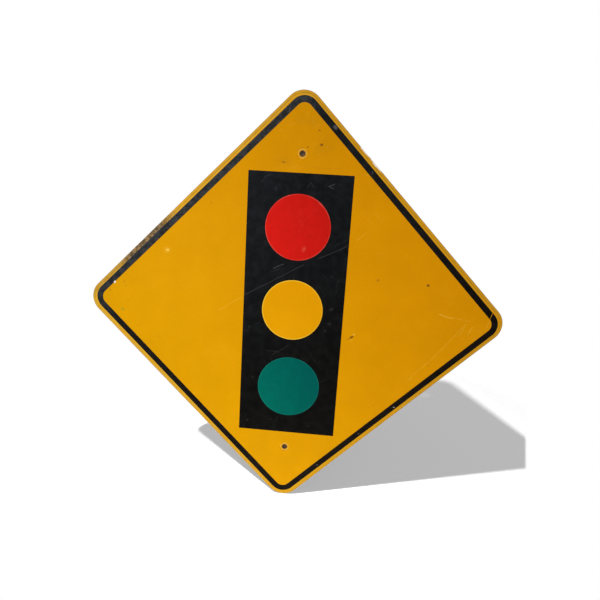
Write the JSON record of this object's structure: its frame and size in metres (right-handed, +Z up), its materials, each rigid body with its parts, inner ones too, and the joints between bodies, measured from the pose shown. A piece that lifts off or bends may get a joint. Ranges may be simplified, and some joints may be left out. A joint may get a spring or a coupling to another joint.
{
  "type": "diamond warning road sign",
  "caption": "Diamond-shaped yellow warning sign on a thin aluminium plate, with a black border and an upright black signal symbol showing red, yellow and green lights, drilled for bolts.",
  "frame": {"origin": "the middle of the aluminium blank's back face, where the sign lies against its post", "axes": "+Z up along the upright diagonal through both bolt holes, +X to the viewer's right, +Y out of the back; the printed face looks towards -Y"},
  "size_m": [0.8306, 0.0027, 0.8306],
  "materials": {
    "bare_aluminium": "weathered mill finish",
    "yellow_sheeting": "smooth reflective sheeting, worn to a satin",
    "border_black": "satin, scuffed grey in places",
    "panel_black": "satin with fine scratches",
    "red_film": "satin",
    "green_film": "satin"
  },
  "bodies": {
    "root": {"sign_blank": "bare_aluminium", "yellow_sheeting": "yellow_sheeting", "black_border": "border_black", "signal_panel": "panel_black", "red_disc": "red_film", "green_disc": "green_film"}
  },
  "joints": []
}
